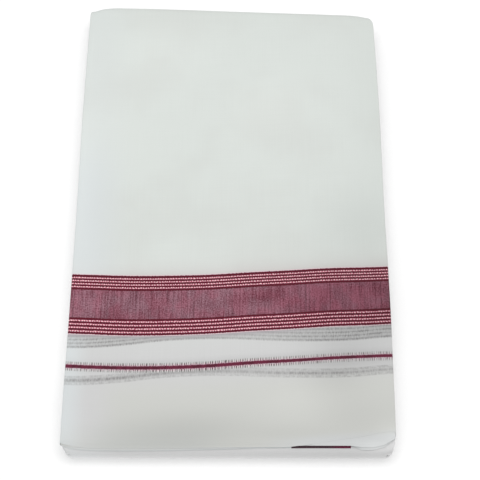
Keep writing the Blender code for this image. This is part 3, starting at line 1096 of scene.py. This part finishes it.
def line_masks(tree, across, along, blur):
    """How much of each of the border's yarns shows at a place."""
    middle = BORDER_DEPTH / MM / 2
    from_middle = reckon(tree, "ABSOLUTE", reckon(tree, "SUBTRACT", along, middle))
    inward = reckon(tree, "SUBTRACT", middle, from_middle)
    front_half = reckon(tree, "GREATER_THAN", along, middle)
    first_line = by_group(tree, front_half, "first_line_mm")
    pitch = by_group(tree, front_half, "pitch_mm")
    depth = by_group(tree, front_half, "depth_mm")
    line = reckon(tree, "DIVIDE", reckon(tree, "SUBTRACT", inward, first_line), pitch)
    line = reckon(tree, "MULTIPLY_ADD", front_half, LINES, reckon(tree, "FLOOR", line))
    twist, waver = twisted_yarn(tree, across, along, times(tree, line, LINE_SHIFT))
    wavy = reckon(tree, "ADD", inward, waver)
    lines_in = reckon(tree, "DIVIDE", reckon(tree, "SUBTRACT", wavy, first_line), pitch)
    line_wave = reckon(tree, "COSINE", times(tree, lines_in, math.tau))
    in_border = soft_step(tree, wavy, -BORDER_OVERLAP - blur, -BORDER_OVERLAP + blur)
    before_ground = soft_step(tree, reckon(tree, "SUBTRACT", depth, wavy), -blur, blur)
    in_group = times(tree, in_border, before_ground)
    widening = WAVE_BLUR * blur
    dark_share = soft_step(tree, line_wave, WAVE_START - widening, WAVE_FULL + widening)
    third = LINES // 2
    from_third = reckon(tree, "ABSOLUTE", reckon(tree, "SUBTRACT", lines_in, third))
    outermost = soft_step(tree, from_third, third - LINE_EDGE_EASE, third + LINE_EDGE_EASE)
    dark = times(tree, in_group, reckon(tree, "MAXIMUM", dark_share, outermost))
    faded = reckon(tree, "POWER", HAZE_FADE, reckon(tree, "ABSOLUTE", inward))
    fringe_start = step_of(tree, inward, "fringe starts")
    fringe_end = step_of(tree, inward, "fringe ends")
    return {
        "waver": waver,
        "twist": twist,
        "border": in_border,
        "dark": dark,
        "pink": reckon(tree, "SUBTRACT", in_group, dark),
        "ground": reckon(tree, "SUBTRACT", in_border, in_group),
        "fringe": times(tree, fringe_start, fringe_end),
        "haze": times(tree, step_of(tree, inward, "haze in front"), front_half),
        "behind": times(tree, faded, HAZE_SHARE, reckon(tree, "SUBTRACT", 1.0, front_half)),
    }


print("the haze halves every", round(math.log(0.5, HAZE_FADE), 1), "mm behind the border")

# %% [markdown]
# ## The thin line
#
# In front of the border runs one thin red line, with a row of tiny picots on each side. The
# picots are loops of the same yarn. A second wave across the cloth draws them, slower and faster
# by a noise, so that they aren't as regular as teeth.

# %% Masks of the thin line
THIN_LINE = 82.2  # its distance from the border's back edge, where nothing pulls it askew
THIN_LINE_HALF = 1.65
THIN_WAVER = 0.7  # for that of the border's lines
PICOT_PITCH = 1.75
PICOT_WANDER = 9.0  # radians


def thin_line_masks(tree, across, along, from_thin_line, waver, blur):
    from_line = reckon(tree, "ABSOLUTE", from_thin_line)
    wavy = reckon(tree, "MULTIPLY_ADD", waver, THIN_WAVER, from_line)
    wavy = reckon(tree, "ADD", wavy, fade(tree, across, "slimmer line"))
    start, end = THIN_LINE_HALF - WAVE_BLUR * blur, THIN_LINE_HALF + WAVE_BLUR * blur
    row = step_of(tree, from_line, "picots start")
    row = times(tree, row, step_of(tree, from_line, "picots end"))
    patchy = step_of(tree, speckle(tree, across, along, "patchy picots"), "patchy picots")
    place = times(tree, across, math.tau / PICOT_PITCH)
    wander = times(tree, speckle(tree, across, along, "picot wander"), PICOT_WANDER)
    return {
        "line": soft_step(tree, wavy, start, end, 1.0, 0.0),
        "core": step_of(tree, wavy, "core"),
        "line_haze": step_of(tree, from_line, "line haze"),
        "near_line": step_of(tree, from_line, "near the line"),
        "picot": times(tree, row, patchy),
        "picot_wave": reckon(tree, "SINE", reckon(tree, "ADD", place, wander)),
    }


def border_masks(tree, across, along, from_thin_line, blur):
    """All the masks of the pattern. Blur is the half width of every edge, in mm."""
    masks = line_masks(tree, across, along, blur)
    waver = masks["waver"]
    masks.update(thin_line_masks(tree, across, along, from_thin_line, waver, blur))
    return masks


print("the thin line is", 2 * THIN_LINE_HALF, "mm wide")

# %% [markdown]
# ## White cotton
#
# The white ground is plain weave: fine threads in both directions, some a little thicker than
# others. It isn't one white: large random patches are a little darker. Light and shade are also
# painted into it: cool light in a strip down the left side, grey shade from just behind the border
# forwards and on the leaves underneath, shade that is darker and warmer in front of the thin line
# and cooler over its last rows at the right, and more shade in the hollow at the cut end.

# %% White ground
WHITE = linear(209, 214, 210)
WHITE_SHADE = linear(205, 209, 205)
PAINTED_GREY_SHADE = linear(200, 200, 200)
PAINTED_WARM_SHADE = linear(198, 199, 195)
PAINTED_COOL_END_SHADE = linear(200, 202, 202)
PAINTED_COOL_LIGHT = linear(207, 212, 213)
PAINTED_HOLLOW_SHADE = linear(191, 193, 190)
FAR_ROWS = 200.0  # the white without painted grey shade is about this far behind the border
SLUB_SHARE = 0.035  # how much the thicker threads lighten the cloth
PAINTED_HOLLOW_SHARE = 0.9
PAINTED_COOL_STRIP_NARROWS = 50.0  # mm of the border, in which the strip of painted cool light becomes narrow
PAINTED_COOL_STRIP = {  # the two edges of the strip of painted cool light, from the left side
    "edge": ("inner", "outer"),
    "behind_the_border_mm": (-50, -10),
    "at_the_border_mm": (-22, -2),
}


def white_ground(tree, across, along):
    shade = step_of(tree, speckle(tree, across, along, "shade"), "shade")
    colour = blend(tree, shade, WHITE, WHITE_SHADE)
    # painted shade: greyer from just behind the border forwards, and on the leaves underneath
    from_far_rows = reckon(tree, "ABSOLUTE", reckon(tree, "ADD", along, FAR_ROWS))
    colour = blend(tree, step_of(tree, from_far_rows, "far rows"), colour, PAINTED_GREY_SHADE)
    warp = speckle(tree, across, along, "warp")
    weft = speckle(tree, across, along, "weft")
    slubs = reckon(tree, "ADD", warp, weft)
    slubs = reckon(tree, "MULTIPLY_ADD", slubs, SLUB_SHARE, 1 - SLUB_SHARE)
    colour = dye(tree, colour, slubs)
    # painted shade, darker and warmer, in front of the thin line and away from the left side
    warm = times(tree, fade(tree, along, "warm rows"), fade(tree, across, "not at the left"))
    colour = blend(tree, warm, colour, PAINTED_WARM_SHADE)
    # painted cool light in a strip down the left side
    edges = [
        soft_step(tree, along, 0.0, PAINTED_COOL_STRIP_NARROWS, TOP_LEFT + behind, TOP_LEFT + at_border)
        for _, behind, at_border in zip(*PAINTED_COOL_STRIP.values())
    ]
    cool = times(tree, soft_step(tree, across, *edges), fade(tree, along, "cool rows"))
    colour = blend(tree, cool, colour, PAINTED_COOL_LIGHT)
    # the painted shade turns cooler over the last rows at the right
    last = times(tree, fade(tree, across, "right half"), fade(tree, along, "last rows"))
    colour = blend(tree, last, colour, PAINTED_COOL_END_SHADE)
    # painted shade in the hollow at the cut end, in the left half
    hollow = times(tree, fade(tree, across, "middle left"), fade(tree, across, "at the left"))
    hollow = times(tree, fade(tree, along, "near the end"), hollow, PAINTED_HOLLOW_SHARE)
    return blend(tree, hollow, colour, PAINTED_HOLLOW_SHADE)


print("the cool strip is", PAINTED_COOL_STRIP["at_the_border_mm"], "mm from the left side at the border")

# %% [markdown]
# ## The ghost of the border beneath
#
# The same border on the ply below lies a little further forward, and it shows through. It could
# be painted on by hand, but it is the same weave, so the same masks draw it, with blurred edges.
# It only darkens the white, in faint dots where threads of the two plies cross.

# %% Ghost
GHOST_GREY = linear(120, 118, 118)
VEILED = 0.9
GHOST_PICOTS = 0.55
GHOST_TWIST = 0.08


def ghost_share(tree, across, ghost_along, veil):
    """How much the ply beneath greys the cloth."""
    from_line = reckon(tree, "SUBTRACT", ghost_along, THIN_LINE)
    under = border_masks(tree, across, ghost_along, from_line, VEILED)
    dots = step_of(tree, speckle(tree, across, ghost_along, "ghost dots"), "ghost dots")
    dots = reckon(tree, "MULTIPLY_ADD", under["twist"], GHOST_TWIST, dots)
    wide = reckon(tree, "MAXIMUM", under["ground"], under["pink"])
    wide = times(tree, wide, fade(tree, across, "ghost ground"))
    line = times(tree, under["line"], fade(tree, across, "ghost line"))
    shown = under["dark"]
    for share in (wide, line, times(tree, under["picot"], GHOST_PICOTS)):
        shown = reckon(tree, "MAXIMUM", shown, share)
    return times(tree, shown, dots, veil)


print("the ghost's edges are", round(2 * VEILED, 1), "mm wide")

# %% [markdown]
# ## The dyed yarns
#
# The border's ground looks maroon from afar, but it is red weft on white warp: thicker threads
# make streaks, here and there a single one is darker, and the mix turns redder or greyer in
# clouds. A flat maroon would look printed, so all three are drawn.

# %% Colours of the border
DARK_RED = linear(86, 10, 32)
CORE_RED = linear(80, 24, 42)
CORE_PATCH = linear(98, 31, 54)
LINE_EDGE = linear(140, 84, 104)
PINK_LIGHT = linear(253, 201, 208)
PINK_DEEP = linear(170, 64, 96)
GROUND_DARK = linear(90, 30, 46)
GROUND_LIGHT = linear(158, 109, 123)
REDDER_GROUND = (1.04, 0.95, 0.98, 1)  # these three multiply the ground
GREYER_GROUND = (0.96, 1.12, 1.08, 1)
DEEPER_GROUND = (0.95, 0.78, 0.84, 1)
FRINGE_PINK = linear(222, 190, 198)
HAZE_GREY = linear(160, 153, 157)
HAZE_BEHIND = linear(188, 176, 176)
LINE_HAZE = linear(158, 157, 157)
PICOT_DARK = linear(110, 109, 106)
PICOT_LIGHT = linear(202, 198, 198)
PICOT_NEAR = linear(98, 68, 80)
PICOT_PINK = linear(212, 188, 193)
print("the ground's red goes from", round(GROUND_DARK[0], 2), "to", round(GROUND_LIGHT[0], 2))

# %% The ground between the line groups
CLOUD_SHARE = 0.6
STREAK_SHARE = 0.85


def border_ground(tree, across, along, grain):
    streak = speckle(tree, across, along, "streak")
    cloudy = speckle(tree, across, along, "cloudy")
    mixed = reckon(tree, "MULTIPLY_ADD", cloudy, CLOUD_SHARE, times(tree, streak, STREAK_SHARE))
    mixed = reckon(tree, "ADD", grain, mixed)
    ground = blend(tree, step_of(tree, mixed, "thick threads"), GROUND_DARK, GROUND_LIGHT)
    hue = step_of(tree, speckle(tree, across, along, "hue"), "hue")
    ground = dye(tree, ground, blend(tree, hue, REDDER_GROUND, GREYER_GROUND))
    odd = speckle(tree, across, along, "odd threads")
    ground = dye(tree, ground, step_of(tree, odd, "odd threads"))
    deeper = dye(tree, ground, DEEPER_GROUND)
    return blend(tree, fade(tree, across, "deeper ground"), ground, deeper)


print("clouds count for", CLOUD_SHARE, "and streaks for", STREAK_SHARE, "beside the grain")

# %% [markdown]
# ## Yarn over yarn
#
# The masks overlap a little at their soft edges, so the order counts. The faint grey haze comes
# first, then the picots and the ground, and the solid dark lines cover what lies under them. One
# loop goes through the layers, because each is the same blend of its yarn over the cloth so far.

# %% Lay the yarns
BEAD_TWIST = 0.42
BEAD_GRAIN = 1.1


def lay_yarns(tree, across, along, masks, colour):
    """The border and the thin line over the white cotton."""
    grain = speckle(tree, across, along, "grain")
    bead = times(tree, grain, BEAD_GRAIN)
    bead = reckon(tree, "MULTIPLY_ADD", masks["twist"], BEAD_TWIST, bead)
    pink = blend(tree, step_of(tree, bead, "bead"), PINK_DEEP, PINK_LIGHT)
    dark_tick = blend(tree, masks["near_line"], PICOT_DARK, PICOT_NEAR)
    light_tick = blend(tree, masks["near_line"], PICOT_LIGHT, PICOT_PINK)
    tick = blend(tree, step_of(tree, masks["picot_wave"], "tick"), dark_tick, light_tick)
    patch = step_of(tree, speckle(tree, across, along, "core"), "core patches")
    thin = blend(tree, masks["core"], LINE_EDGE, blend(tree, patch, CORE_RED, CORE_PATCH))
    picots = times(tree, masks["picot"], fade(tree, across, "picots at the right"))
    layers = (
        (times(tree, masks["line_haze"], fade(tree, across, "line haze")), LINE_HAZE),
        (times(tree, picots, fade(tree, across, "picots at the left")), tick),
        (times(tree, masks["haze"], fade(tree, across, "haze in front")), HAZE_GREY),
        (times(tree, masks["behind"], fade(tree, across, "haze behind")), HAZE_BEHIND),
        (masks["fringe"], FRINGE_PINK),
        (masks["ground"], border_ground(tree, across, along, grain)),
        (masks["pink"], pink),
        (masks["dark"], DARK_RED),
        (masks["line"], thin),
    )
    for share, yarn in layers:
        colour = blend(tree, share, colour, yarn)
    return colour


print("a bead is", BEAD_TWIST, "twist and", BEAD_GRAIN, "grain")

# %% [markdown]
# ## The cotton itself
#
# Along both selvedges runs a plain maroon border, of which only the end shows, at the front. The
# weave is far too fine to model, so it is a bump: the product of two waves, with a thread every
# 0.42 mm. Cotton has hardly any gloss, so the shader is rough, with a little sheen from loose
# fibres.

# %% The cotton material
THREAD_PITCH = 0.42
SELVEDGE_BORDER = 46.3
SELVEDGE_EASE = 0.2
SELVEDGE_RED = linear(96, 38, 60)
SELVEDGE_BROWN = linear(72, 52, 60)
PAINTED_SHADING_STEP = 0.0105  # of the linear brightness, for one step of 255 of painted light or shade
SHARP = 0.11
WEAVE_BUMP = {"Strength": 0.35, "Distance": 0.05 * MM}
BORDER_RELIEF = 2.0  # for that of a thread
COTTON_FINISH = {
    "Roughness": 0.88,
    "Sheen Weight": 0.12,
    "Sheen Roughness": 0.5,
    "Specular IOR Level": 0.25,
}


def read_map(tree, layer):
    """The two values of a UV map."""
    parts = node(tree, "SeparateXYZ")
    tree.links.new(node(tree, "UVMap", uv_map=layer).outputs[0], parts.inputs[0])
    return parts.outputs[0], parts.outputs[1]


def selvedge_border(tree, across, colour):
    from_other = reckon(tree, "SUBTRACT", CHAIN_WIDTH / MM, across)
    from_selvedge = reckon(tree, "MINIMUM", across, from_other)
    first, last = SELVEDGE_BORDER - SELVEDGE_EASE, SELVEDGE_BORDER + SELVEDGE_EASE
    browner = step_of(tree, from_selvedge, "browner")
    maroon = blend(tree, browner, SELVEDGE_RED, SELVEDGE_BROWN)
    return blend(tree, soft_step(tree, from_selvedge, first, last, 1.0, 0.0), colour, maroon)


def weave_normal(tree, across, along, masks):
    """The threads of the plain weave, and the border's thicker yarns, as a bump."""
    turns = math.tau / THREAD_PITCH
    waves = [reckon(tree, "SINE", times(tree, place, turns)) for place in (across, along)]
    dyed = reckon(tree, "MAXIMUM", masks["border"], masks["line"])
    relief = reckon(tree, "MULTIPLY_ADD", dyed, BORDER_RELIEF, times(tree, *waves))
    bump = node(tree, "Bump")
    set_inputs(bump, WEAVE_BUMP)
    tree.links.new(relief, bump.inputs["Height"])
    return bump.outputs[0]


def cotton_material(name):
    material = bpy.data.materials.new(name)
    material.use_nodes = True
    tree = material.node_tree
    shader = tree.nodes["Principled BSDF"]
    across, along = read_map(tree, "cloth")
    veil, ghost_along = read_map(tree, "ghost")
    from_line, painted_shading = read_map(tree, "line")
    metres = (across, along, ghost_along, from_line)
    across, along, ghost_along, from_line = (reckon(tree, "DIVIDE", way, MM) for way in metres)
    masks = border_masks(tree, across, along, from_line, SHARP)
    colour = white_ground(tree, across, along)
    colour = blend(tree, ghost_share(tree, across, ghost_along, veil), colour, GHOST_GREY)
    colour = lay_yarns(tree, across, along, masks, colour)
    colour = selvedge_border(tree, across, colour)
    # the painted light and shade lighten or darken the colour
    colour = dye(tree, colour, reckon(tree, "MULTIPLY_ADD", painted_shading, PAINTED_SHADING_STEP, 1.0))
    tree.links.new(colour, shader.inputs["Base Color"])
    tree.links.new(weave_normal(tree, across, along, masks), shader.inputs["Normal"])
    set_inputs(shader, COTTON_FINISH)
    print(name, "has", len(tree.nodes), "nodes")
    return material


bordered_cotton = cotton_material("bordered_cotton")
for sheet in (outer_cloth, inner_cloth):
    sheet.data.materials.append(bordered_cotton)

# %% [markdown]
# ## The floor and the light
#
# The packet lies on plain white paper. One large soft lamp hangs almost straight above it, and an
# even white sky fills in the rest, so the front face falls into a light grey shade and the shadow
# stays soft, and about as wide on each side. The paper glows a little, which keeps it white.

# %% Floor and lights
FLOOR_SIZE = 8.0
LAMP_PLACE = Vector((0.01, 0.03, 0.90))
LAMP_SIZE = 0.65
LAMP_POWER = 2.35
SKY_STRENGTH = 0.87
PAPER_FINISH = {
    "Base Color": (0.82, 0.82, 0.82, 1),
    "Roughness": 0.9,
    "Specular IOR Level": 0.0,
    "Emission Color": (1, 1, 1, 1),
    "Emission Strength": 0.18,
}

floor_mesh = bpy.data.meshes.new("floor")
half = FLOOR_SIZE / 2
floor_corners = [(-half, -half, 0), (half, -half, 0), (half, half, 0), (-half, half, 0)]
floor_mesh.from_pydata(floor_corners, [], [(0, 1, 2, 3)])
floor = into_scene("floor", floor_mesh)
paper = bpy.data.materials.new("paper")
paper.use_nodes = True
set_inputs(paper.node_tree.nodes["Principled BSDF"], PAPER_FINISH)
floor_mesh.materials.append(paper)

lamp_data = bpy.data.lights.new("soft lamp", "AREA")
lamp_data.shape = "DISK"
lamp_data.size = LAMP_SIZE
lamp_data.energy = LAMP_POWER
lamp = into_scene("soft lamp", lamp_data)
lamp.location = LAMP_PLACE
lamp.rotation_euler = (-LAMP_PLACE).to_track_quat("-Z", "Y").to_euler()

sky = bpy.data.worlds.new("sky")
sky.use_nodes = True
sky_light = {"Color": (1, 1, 1, 1), "Strength": SKY_STRENGTH}
set_inputs(sky.node_tree.nodes["Background"], sky_light)
bpy.context.scene.world = sky
print("the lamp is", round(LAMP_PLACE.length, 2), "m away")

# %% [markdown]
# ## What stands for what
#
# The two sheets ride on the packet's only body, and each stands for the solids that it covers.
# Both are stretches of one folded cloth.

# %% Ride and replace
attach(outer_cloth, "root")
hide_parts("top_leaf", "lower_plies", "back_turn", "bottom_leaf", "front_turn")
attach(inner_cloth, "root")
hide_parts("hidden_layers")
